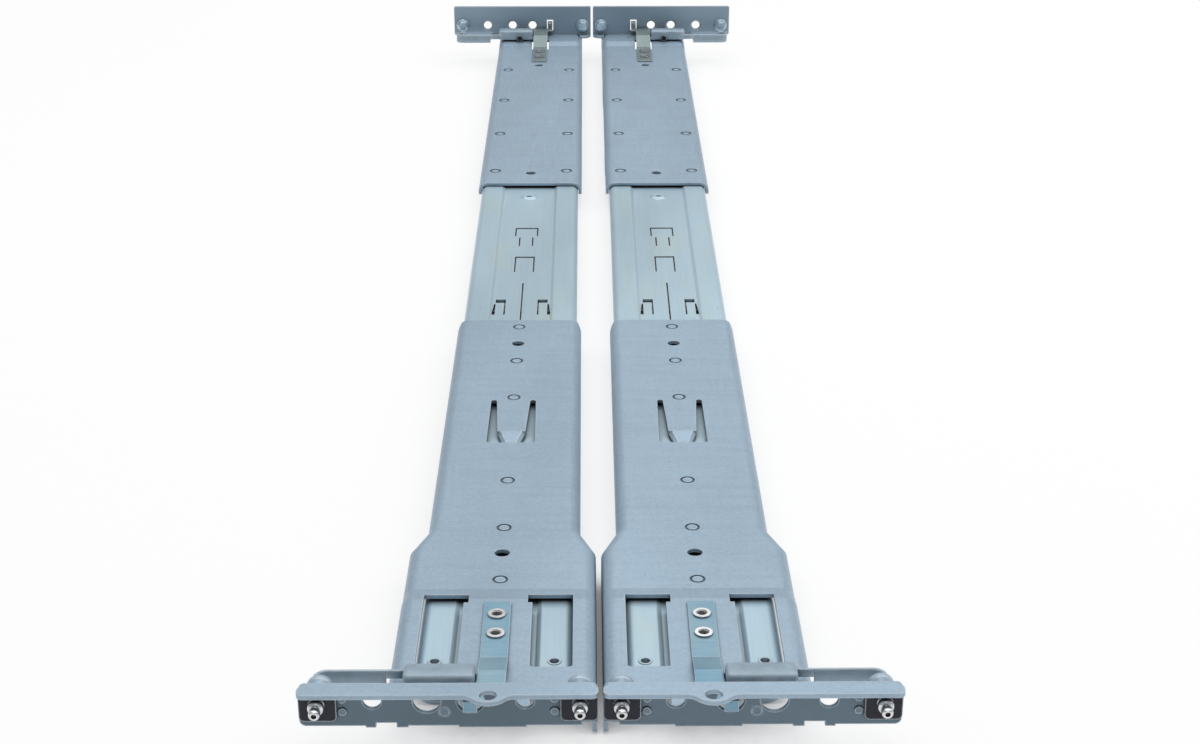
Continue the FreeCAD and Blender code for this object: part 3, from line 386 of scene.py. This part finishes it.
def black_plate(settings):
    """Black-passivated plate, its edges lightened as wear and painted highlight."""
    make = Finish("black passivated plate", 0.4, 0.3)
    body = tuple(settings.plate)
    speck = make.noise(500, (1, 1, 1), 3)
    base = make.drift(speck, tint(body, 0.7), tint(body, 1.6))
    rough = make.ramp(speck, ((0.3, 0.22), (0.7, 0.4)))
    return make.finish(base, rough, settings.edge, settings.wear_and_edge_highlight, (speck, 0.05, 0.0001))


def paint(nodes, material):
    """Give CAD nodes a material in place of their own."""
    for name in nodes:
        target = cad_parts[name]
        target.data.materials.clear()
        target.data.materials.append(material)


TINY = 1e-6  # points nearer than this are one point


def first_face(items):
    """The first face in what an operator gives back."""
    return next(item for item in items if isinstance(item, bmesh.types.BMFace))


class Piece:
    """A piece under construction: closed shells gathered in one bmesh, finished as one object."""

    def __init__(self):
        self.shape = bmesh.new()

    def turned(self, centre, axis, profile, steps=40):
        """Spin a profile of (distance along the axis, radius) round a line through centre."""
        axis = Vector(axis).normalized()
        out = axis.orthogonal().normalized()
        verts = [self.shape.verts.new(Vector(centre) + axis * along + out * radius)
                 for along, radius in profile]
        sides = [self.shape.edges.new(pair) for pair in zip(verts, verts[1:])]
        bmesh.ops.spin(self.shape, geom=verts + sides, cent=centre, axis=axis, angle=math.tau,
                       steps=steps, use_merge=True, use_duplicate=False)

    def helix(self, centre, axis, radius, depth, pitch, turns, steps=20):
        """A thread ridge: a small triangle spun round the axis while it climbs by the pitch."""
        axis = Vector(axis).normalized()
        out = axis.orthogonal().normalized()
        start = Vector(centre) + out * radius
        flank = axis * pitch * 0.42
        corners = (start - flank, start - out * depth, start + flank)
        verts = [self.shape.verts.new(corner) for corner in corners]
        face = self.shape.faces.new(verts)
        bmesh.ops.spin(self.shape, geom=[face, *face.edges, *face.verts], cent=centre, axis=axis,
                       dvec=axis * pitch / steps, angle=math.tau * turns, steps=round(steps * turns),
                       use_merge=False, use_duplicate=False)

    def draw_out(self, face, along):
        """Extrude a face by a vector and give back the far face; the near one stays where it was."""
        drawn = bmesh.ops.extrude_face_region(self.shape, geom=[face])["geom"]
        far = first_face(drawn)
        bmesh.ops.translate(self.shape, verts=far.verts, vec=along)
        return far

    def bar(self, low, high, along):
        """A flat bar: the upright rectangle between two corners, drawn out by a vector."""
        corners = ((low.y, low.z), (high.y, low.z), (high.y, high.z), (low.y, high.z))
        face = self.shape.faces.new([self.shape.verts.new((low.x, y, z)) for y, z in corners])
        return self.draw_out(face, along)

    def bend(self, face, centre, angle, steps):
        """Carry a face round an upright line through centre; it stays, and the far one is given back."""
        bent = bmesh.ops.spin(self.shape, geom=[face, *face.edges, *face.verts], cent=centre,
                              axis=(0, 0, 1), angle=angle, steps=steps, use_merge=False,
                              use_duplicate=False)
        return first_face(bent["geom_last"])

    def ease(self, sharp, radius, segments):
        """Round off some edges."""
        bmesh.ops.bevel(self.shape, geom=sharp, offset=radius, segments=segments, profile=0.5,
                        affect="EDGES", material=-1, clamp_overlap=True)

    def prism(self, centre, axis, radius, sides, height, chamfer, turn=0.0):
        """A many-sided head that rises from centre along axis; gives back its top face."""
        axis = Vector(axis).normalized()
        place = (Matrix.Translation(centre) @ axis.to_track_quat("Z", "Y").to_matrix().to_4x4()
                 @ Matrix.Rotation(turn, 4, "Z"))
        made = bmesh.ops.create_circle(self.shape, cap_ends=True, segments=sides, radius=radius,
                                       matrix=place)
        face = made["verts"][0].link_faces[0]
        top = self.draw_out(face, axis * (height - chamfer))
        bmesh.ops.inset_region(self.shape, faces=[top], thickness=chamfer, use_even_offset=True)
        bmesh.ops.translate(self.shape, verts=top.verts, vec=axis * chamfer)
        return top

    def cross_recess(self, top, axis, arms, half, reach, depth):
        """Cut a top face along the sides of a cross and sink a second cross, which the top keeps shut."""
        axis = Vector(axis).normalized()
        middle = top.calc_center_median()

        def off(face, way):
            return abs((face.calc_center_median() - middle).dot(way))

        cut = [top]
        for arm in arms:
            for offset in (-reach, -half, half, reach):
                parts = {part for face in cut for part in (face, *face.edges, *face.verts)}
                bmesh.ops.bisect_plane(self.shape, geom=list(parts), dist=TINY / 10,
                                       plane_co=middle + arm * offset, plane_no=arm)
                cut = [face for face in self.shape.faces if off(face, axis) < TINY
                       and (face.calc_center_median() - middle).length < reach * 3]
        cross = []
        for face in cut:
            near, far = sorted(off(face, arm) for arm in arms)
            if near < half and far < reach:
                cross.append(face)
        sunk = bmesh.ops.extrude_face_region(self.shape, geom=cross)["geom"]
        verts = [item for item in sunk if isinstance(item, bmesh.types.BMVert)]
        bmesh.ops.translate(self.shape, verts=verts, vec=axis * -depth)
        bmesh.ops.scale(self.shape, verts=verts, vec=(0.8,) * 3,
                        space=Matrix.Translation(-(middle - axis * depth)))

    def finish(self, name, body, slot, material, crease=40):
        """Close and orient the shells, put the mesh in the scene and hang it on its body."""
        bmesh.ops.remove_doubles(self.shape, verts=self.shape.verts, dist=TINY)
        bmesh.ops.recalc_face_normals(self.shape, faces=self.shape.faces)
        mesh = bpy.data.meshes.new(name)
        for face in self.shape.faces:
            face.smooth = True
        self.shape.to_mesh(mesh)
        self.shape.free()
        mesh.set_sharp_from_angle(angle=math.radians(crease))
        mesh.materials.append(material)
        made = bpy.data.objects.new(name, mesh)
        bpy.context.scene.collection.objects.link(made)
        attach(made, body)
        return made


def pin_centres(node, radius):
    """The two pins' centres in a node that holds both, given their largest radius."""
    low, high = edges(node)
    level = (low.z + high.z) / 2
    return [(x, level) for x in (low.x + radius, high.x - radius)]


def of_each_rail(*names):
    """The same nodes of both rails."""
    return ["%s_%s" % (side, name) for side in SIDES for name in names]


# Operators -----------------------------------------------------------------------------------------

class RAIL_OT_brackets(bpy.types.Operator):
    """Galvanise the front and rear brackets"""
    bl_idname = "rail.brackets"
    bl_label = "Galvanised brackets"

    def execute(self, context):
        settings = context.scene.rail_finish
        paint(of_each_rail("front_bracket", "rear_bracket"), galvanised_sheet(settings))
        return {"FINISHED"}


class RAIL_OT_slides(bpy.types.Operator):
    """Plate the slide members and their ball cages"""
    bl_idname = "rail.slides"
    bl_label = "Zinc-plated slides"

    def execute(self, context):
        settings = context.scene.rail_finish
        paint(of_each_rail("outer_channel", "middle_member", "ball_cage"), zinc_plate(settings))
        return {"FINISHED"}


class RAIL_OT_latches(bpy.types.Operator):
    """Finish the strap springs, their hooks and the rear levers' pivots"""
    bl_idname = "rail.latches"
    bl_label = "Latches"

    def execute(self, context):
        settings = context.scene.rail_finish
        front = tempered_strap("blued spring strap", tuple(settings.strap), tuple(settings.straw), settings)
        rear = tempered_strap("plain spring strap", tuple(settings.rear_strap), tuple(settings.rear_straw),
                              settings)
        paint(of_each_rail("front_strap", "front_hook"), front)
        paint(of_each_rail("rear_strap", "rear_hook"), rear)
        paint(of_each_rail("rear_lever_pivot"), black_plate(settings))
        return {"FINISHED"}


def fold_lever(corner, sign, inward):
    """A release lever: a boxed cover over the pivot, and a finger bar looped round to its low side."""
    lever = Piece()
    along = Vector((sign, 0, 0))

    def place(out, back, drop):
        return corner + Vector((sign * out, inward * back, -drop))

    def wall(out, reach, side, top, foot, thick=LEVER_WALL):
        return lever.bar(place(out, side, foot), place(out, side + thick, top), along * reach)

    near, far = LEVER_NEAR, LEVER_FAR - LEVER_WALL
    end = wall(BAR_OUT, LOOP_OUT - BAR_OUT, far, BAR_TOP, BAR_FOOT)
    end = lever.bend(end, place(LOOP_OUT, (LEVER_NEAR + LEVER_FAR) / 2, 0), -sign * inward * math.pi, 14)
    lever.draw_out(end, along * -LOOP_RETURN)
    wall(BAR_OUT, LOOP_OUT - LOOP_RETURN - BAR_OUT, near, LOW_TOP, BAR_FOOT)
    wall(NECK_OUT, BAR_OUT - NECK_OUT, far, BAR_TOP, FAR_NECK_FOOT)
    wall(NECK_OUT, BAR_OUT - NECK_OUT, near, NEAR_NECK_TOP, NEAR_NECK_FOOT)
    for side in (near, far):
        wall(NOSE_OUT, NOSE_REACH, side + LEVER_FIT, NOSE_TOP, NOSE_FOOT, LEVER_WALL - 2 * LEVER_FIT)
    lever.ease([edge for edge in lever.shape.edges if edge.calc_face_angle(0) > SHARP], 0.00022, 2)

    cover = lever.bar(place(COVER_OUT, LEVER_NEAR, COVER_FOOT), place(COVER_OUT, LEVER_FAR, 0),
                      along * COVER_REACH)
    sides = {face for edge in cover.edges for face in edge.link_faces}
    rim = {edge for face in sides for edge in face.edges}
    under = min(sides, key=lambda face: face.calc_center_median().z)
    bmesh.ops.inset_region(lever.shape, faces=[under], thickness=LEVER_WALL, use_even_offset=True)
    # The hollow inside the cover stays shut below.
    lever.draw_out(under, Vector((0, 0, COVER_FOOT - LEVER_WALL)))
    lever.ease([edge for edge in rim if edge.is_valid
                and max(vert.co.z for vert in edge.verts) > corner.z - TINY], COVER_ROUND, 4)

    eye = LEVER_WALL - 2 * LEVER_FIT
    for side in (near, far):
        lever.turned(place(EYE_OUT, side + LEVER_FIT, EYE_DROP), (0, inward, 0),
                     [(0, 0), (0, EYE), (eye, EYE), (eye, 0)], 24)
    return lever


class RAIL_OT_levers(bpy.types.Operator):
    """Fold the release levers: a boxed cover over the pivot and a finger bar with a round looped end"""
    bl_idname = "rail.levers"
    bl_label = "Release levers"

    def execute(self, context):
        settings = context.scene.rail_finish
        steel = plain_metal("plated lever", tuple(settings.lever), 0.3, 0.42, 300, settings.edge,
                            settings.wear_and_edge_highlight)
        for side, sign in zip(SIDES, (-1, 1)):
            for end, flange, inward in (("front", FLANGE_FRONT, 1), ("rear", FLANGE_REAR, -1)):
                node = "%s_%s_lever" % (side, end)
                corner = Vector((centre_x(side), flange, edges(node)[1].z))
                made = fold_lever(corner, sign, inward).finish(
                    "%s_%s_release_lever" % (side, end), "%s_%s_release" % (side, end),
                    "lever_steel", steel, 35)
                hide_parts(node)
        return {"FINISHED"}


def pin_shank():
    """From the flange forward: a ribbed shoulder, a neck and a tip with a small recess."""
    ribs = [(0.0016 + 0.0003 * step, PIN_GROOVE if step % 2 else PIN_SHANK) for step in range(5)]
    shoulder = [(0.0038, PIN_SHANK), (0.0043, 0.00225), (0.0047, 0.0018)]
    neck = [(0.0048, 0.0013), (0.0055, 0.0013), (0.0058, 0.0017), (0.0072, 0.0017)]
    tip = [(0.0077, 0.00155), (0.0080, 0.0012), (0.0080, 0.0008), (0.0070, 0.0006), (0.0070, 0)]
    return [(0.0008, 0), (0.0008, PIN_SHANK)] + ribs + shoulder + neck + tip


def pin_housing():
    """From the flange's back: a stepped cup with a dimple in its end; radii are shares of its own."""
    shape = [(0, 0), (0, 1), (0.0014, 1), (0.0017, 0.86), (0.0052, 0.86), (0.0055, 0.93), (0.0068, 0.93),
             (0.0075, 0.8), (0.0075, 0.3), (0.0069, 0.24), (0.0069, 0)]
    return [(along, PIN_HOUSING * share) for along, share in shape]


class RAIL_OT_front_pins(bpy.types.Operator):
    """Turn the stepped front pins, with their sprung housings behind the flange"""
    bl_idname = "rail.front_pins"
    bl_label = "Front pins"

    def execute(self, context):
        settings = context.scene.rail_finish
        bright = plain_metal("polished pin", tuple(settings.bright), 0.95, 0.14, 400, settings.edge / 3,
                             settings.bright)
        zinc = plain_metal("pin housing zinc", tuple(settings.galvanised), 0.35, 0.4, 300, settings.edge,
                           settings.wear_and_edge_highlight)
        for side in SIDES:
            node = side + "_front_pins"
            shanks, housings = Piece(), Piece()
            for x, z in pin_centres(node, PIN_HOUSING):
                shanks.turned((x, FLANGE_FRONT, z), (0, -1, 0), pin_shank())
                housings.turned((x, FLANGE_FRONT + SHEET, z), (0, 1, 0), pin_housing())
            made = shanks.finish(side + "_front_pin_shanks", side + "_frame", "chrome", bright)
            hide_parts(node)
            housings.finish(side + "_front_pin_housings", side + "_frame", "zinc", zinc)
        return {"FINISHED"}


def bolt_profile():
    """From the flange's inner face: the pin behind it and the washer in front of it."""
    pin = [(-0.0085, 0), (-0.0085, 0.0006), (-0.0095, 0.0008), (-0.0095, 0.0013), (-0.0089, 0.0017),
           (-0.0055, 0.0017), (-0.0049, 0.0024), (-0.0010, 0.0024), (-0.0010, 0.0022), (0, 0.0022)]
    washer = [(0, 0.0039), (0.0002, BOLT_WASHER), (0.0006, BOLT_WASHER), (0.0008, 0.0039),
              (0.0008, 0.0034), (0.0013, 0.0033), (0.0015, 0.0030), (0.0015, 0)]
    return pin + washer


class RAIL_OT_rear_bolts(bpy.types.Operator):
    """Make the rear pins as washer-faced hexagon bolts, each with a cross cut into its face"""
    bl_idname = "rail.rear_bolts"
    bl_label = "Rear bolts"

    def execute(self, context):
        settings = context.scene.rail_finish
        zinc = plain_metal("bolt zinc", tuple(settings.channel), 0.85, 0.2, 350, settings.edge / 2,
                           settings.wear_and_edge_highlight)
        inner, out = FLANGE_REAR - SHEET, (0, -1, 0)
        for side in SIDES:
            node = side + "_rear_pins"
            bolts = Piece()
            for number, (x, z) in enumerate(pin_centres(node, BOLT_WASHER)):
                bolts.turned((x, inner, z), out, bolt_profile())
                # The two bolts stand at different angles, as if tightened by hand.
                top = bolts.prism((x, inner - 0.0014, z), out, BOLT_HEX, 6, 0.0018, 0.0003, 0.4 + number)
                turn = 0.5 + number
                arms = [Vector((math.cos(turn), 0, math.sin(turn))),
                        Vector((-math.sin(turn), 0, math.cos(turn)))]
                bolts.cross_recess(top, out, arms, 0.00038, 0.0015, 0.0011)
            made = bolts.finish(side + "_rear_bolts", side + "_rear_end", "zinc", zinc, 30)
            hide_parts(node)
        return {"FINISHED"}


class RAIL_OT_eyelet_threads(bpy.types.Operator):
    """Cut a thread ridge in the bore of each strap eyelet"""
    bl_idname = "rail.eyelet_threads"
    bl_label = "Eyelet threads"

    def execute(self, context):
        settings = context.scene.rail_finish
        steel = plain_metal("thread steel", tint(settings.bright, 0.5), 0.9, 0.3, 500, settings.edge / 4,
                            settings.bright)
        for side in SIDES:
            for end, body in (("front", "_frame"), ("rear", "_rear_end")):
                low, high = edges("%s_%s_strap_rivets" % (side, end))
                middle, head = (low.x + high.x) / 2, (high.x - low.x) / 2
                thread, inset = Piece(), 0.0003
                for y in (low.y + head, high.y - head):
                    thread.helix((middle, y, low.z + inset), (0, 0, 1), EYELET_BORE, 0.00028, EYELET_THREAD,
                                 (high.z - low.z - 2 * inset) / EYELET_THREAD)
                thread.finish("%s_%s_eyelet_threads" % (side, end), side + body, "chrome", steel)
        return {"FINISHED"}


class RAIL_OT_bosses(bpy.types.Operator):
    """Press the domed stop boss into each slide channel's web"""
    bl_idname = "rail.bosses"
    bl_label = "Stop bosses"

    def execute(self, context):
        zinc = zinc_plate(context.scene.rail_finish)
        dome = [(-0.0002, 0.0044), (0.00015, 0.0042), (0.0005, 0.0035), (0.0008, 0.0027), (0.00092, 0.0021),
                (0.00085, 0.0016), (0.0005, 0.0014), (-0.0002, 0.0014), (-0.0002, 0.0044)]
        for side in SIDES:
            web = edges(side + "_outer_channel")[1].z - BOSS_DROP
            boss = Piece()
            boss.turned((centre_x(side), FLANGE_FRONT + BOSS_PLACE, web), (0, 0, 1), dome)
            boss.finish(side + "_stop_boss", side + "_frame", "zinc", zinc, 60)
        return {"FINISHED"}


def clinch_ring(radius):
    """A low ridge of pushed-up metal, its section closed on itself."""
    inner, crest, outer = radius - 0.0001, radius + 0.0001, radius + 0.0003
    return [(-0.00036, inner), (0.00003, inner), (0.00006, crest), (0.00003, outer), (-0.00036, outer),
            (-0.00036, inner)]


CLINCH_BUTTON = [(-0.00036, 0), (-0.00036, 0.00186), (0.0, 0.00178), (0.00012, 0.0015), (0.00002, 0.0012),
                 (-0.00012, 0.0009), (-0.00015, 0)]


class RAIL_OT_clinch_rings(bpy.types.Operator):
    """Press the flow ring and bright button of each clinched joint in the bracket plates; the ring is
    coloured dark as painted shade at the joint's rim
    """
    bl_idname = "rail.clinch_rings"
    bl_label = "Clinch rings"

    def execute(self, context):
        settings = context.scene.rail_finish
        # Painted shade: a dark ring stands for the shade round each joint's rim.
        dark = plain_metal("clinch shade ring", tint(settings.face, 0.6), 0.5, 0.35, 900, settings.edge / 5,
                           settings.face)
        pale = plain_metal("clinch button", tint(settings.galvanised, 0.9), 0.4, 0.4, 700,
                           settings.edge / 3, tint(settings.galvanised, 1.4))
        for side in SIDES:
            middle = centre_x(side)
            top = edges(side + "_outer_channel")[1].z + PLATE_GAP + SHEET - 0.0003
            front = [(middle, FLANGE_FRONT + CLINCH_FIRST + CLINCH_PITCH * step) for step in CLINCH_STEPS]
            rear = [(middle + sign * TUBE_PLACE, FLANGE_REAR - DIMPLE_FIRST + DIMPLE_PITCH * row)
                    for row in range(DIMPLE_ROWS) for sign in (-1, 1)]
            for end, body, places, radius in (("front", "_frame", front, 0.00235),
                                              ("rear", "_rear_end", rear, 0.0027)):
                rings, buttons = Piece(), Piece()
                for x, y in places:
                    rings.turned((x, y, top), (0, 0, 1), clinch_ring(radius), 24)
                    buttons.turned((x, y, top), (0, 0, 1), CLINCH_BUTTON, 24)
                rings.finish("%s_%s_clinch_rings" % (side, end), side + body, "galvanised", dark, 60)
                buttons.finish("%s_%s_clinch_buttons" % (side, end), side + body, "galvanised", pale, 60)
        return {"FINISHED"}


class RAIL_OT_fasteners(bpy.types.Operator):
    """Finish the eyelets, rivets, balls, front pivots and dark pin plates"""
    bl_idname = "rail.fasteners"
    bl_label = "Eyelets and rivets"

    def execute(self, context):
        settings = context.scene.rail_finish
        bright = plain_metal("bright nickel", tuple(settings.bright), 0.95, 0.16, 400, settings.edge / 2,
                             settings.bright)
        dull = plain_metal("rivet zinc", tint(settings.face, 1.3), 0.5, 0.35, 400, settings.edge,
                           settings.wear_and_edge_highlight)
        paint(of_each_rail("front_strap_rivets", "rear_strap_rivets", "balls"), bright)
        paint(of_each_rail("front_lever_pivot", "front_plate_rivets"), dull)
        paint(of_each_rail("front_pin_plates"), black_plate(settings))
        return {"FINISHED"}


class RAIL_OT_stage(bpy.types.Operator):
    """Lay the floor, hang the lamps and set the camera"""
    bl_idname = "rail.stage"
    bl_label = "Studio"

    def execute(self, context):
        settings = context.scene.rail_stage
        make_floor(settings)
        light_world(context.scene)
        hang_lamp("overhead softbox", (0.1, 0.2, 1.6), (0, 0.1, 0), 3.0, 33)
        hang_lamp("side softbox", (1.5, 0.2, 1.0), (0, 0, 0), 1.0, 3)
        set_camera(context.scene, settings)
        return {"FINISHED"}


def make_floor(settings):
    mesh = bpy.data.meshes.new("floor")
    shape = bmesh.new()
    bmesh.ops.create_grid(shape, x_segments=1, y_segments=1, size=settings.floor_half)
    bmesh.ops.translate(shape, verts=shape.verts, vec=(0, 0, -FLOOR_DROP))
    shape.to_mesh(mesh)
    shape.free()
    floor = bpy.data.objects.new("floor", mesh)
    bpy.context.scene.collection.objects.link(floor)
    mesh.materials.append(floor_paper())
    return floor


def floor_paper():
    """White paper: it shows as plain white to the camera but still takes a soft shadow."""
    make = Finish("white paper", 0, 0.9)
    make.shader.inputs["Base Color"].default_value = (0.93, 0.93, 0.93, 1)
    glow = make.node("ShaderNodeEmission")
    glow.inputs["Color"].default_value = (1, 1, 1, 1)
    glow.inputs["Strength"].default_value = 1
    seen = make.node("ShaderNodeLightPath").outputs
    direct = make.maths("MAXIMUM", seen["Is Camera Ray"], seen["Is Glossy Ray"])
    direct = make.maths("MAXIMUM", direct, seen["Is Transmission Ray"])
    clear = make.fade(make.open_sky(0.03).outputs["AO"], 0.08, 0.35)
    blend = make.node("ShaderNodeMixShader")
    make.link(make.both(clear, make.both(direct, PAPER_GLOW)), blend.inputs[0])
    make.link(make.shader.outputs[0], blend.inputs[1])
    make.link(glow.outputs[0], blend.inputs[2])
    make.link(blend.outputs[0], make.tree.nodes["Material Output"].inputs["Surface"])
    return make.material


def light_world(scene):
    world = bpy.data.worlds.new("studio")
    world.use_nodes = True
    sky = world.node_tree.nodes["Background"]
    sky.inputs["Color"].default_value = (1, 1, 1, 1)
    sky.inputs["Strength"].default_value = WORLD_LIGHT
    scene.world = world


def hang_lamp(name, place, target, size, power):
    data = bpy.data.lights.new(name, "AREA")
    data.size = size
    data.energy = power
    lamp = bpy.data.objects.new(name, data)
    lamp.location = place
    lamp.rotation_euler = (Vector(target) - Vector(place)).to_track_quat("-Z", "Y").to_euler()
    bpy.context.scene.collection.objects.link(lamp)


def set_camera(scene, settings):
    data = bpy.data.cameras.new("camera")
    data.sensor_width = 36
    data.lens = LENS
    data.clip_start = 0.01
    camera = bpy.data.objects.new("camera", data)
    camera.location = (settings.camera_offset, FLANGE_FRONT - settings.camera_reach,
                       settings.camera_height)
    camera.rotation_euler = (CAMERA_TILT, 0, CAMERA_PAN)
    scene.collection.objects.link(camera)
    scene.camera = camera
    scene.view_settings.view_transform = "Standard"


class RAIL_PT_panel(bpy.types.Panel):
    bl_label = "Server rails"
    bl_space_type = "VIEW_3D"
    bl_region_type = "UI"
    bl_category = "Server rails"

    def draw(self, context):
        for operator in OPERATORS:
            self.layout.operator(operator.bl_idname)
        for group in (context.scene.rail_finish, context.scene.rail_stage):
            box = self.layout.box()
            for name in group.__annotations__:
                box.prop(group, name)


SETTINGS = (RailFinishSettings, RailStageSettings)
OPERATORS = (RAIL_OT_brackets, RAIL_OT_slides, RAIL_OT_latches, RAIL_OT_levers, RAIL_OT_front_pins,
             RAIL_OT_rear_bolts, RAIL_OT_eyelet_threads, RAIL_OT_bosses, RAIL_OT_clinch_rings,
             RAIL_OT_fasteners, RAIL_OT_stage)


def register():
    for item in (*SETTINGS, *OPERATORS, RAIL_PT_panel):
        bpy.utils.register_class(item)
    bpy.types.Scene.rail_finish = PointerProperty(type=RailFinishSettings)
    bpy.types.Scene.rail_stage = PointerProperty(type=RailStageSettings)


def unregister():
    del bpy.types.Scene.rail_stage
    del bpy.types.Scene.rail_finish
    for item in reversed((*SETTINGS, *OPERATORS, RAIL_PT_panel)):
        bpy.utils.unregister_class(item)


def main():
    register()
    bpy.ops.rail.brackets()
    bpy.ops.rail.slides()
    bpy.ops.rail.latches()
    bpy.ops.rail.levers()
    bpy.ops.rail.front_pins()
    bpy.ops.rail.rear_bolts()
    bpy.ops.rail.eyelet_threads()
    bpy.ops.rail.bosses()
    bpy.ops.rail.clinch_rings()
    bpy.ops.rail.fasteners()
    bpy.ops.rail.stage()


if __name__ == "__main__":
    main()
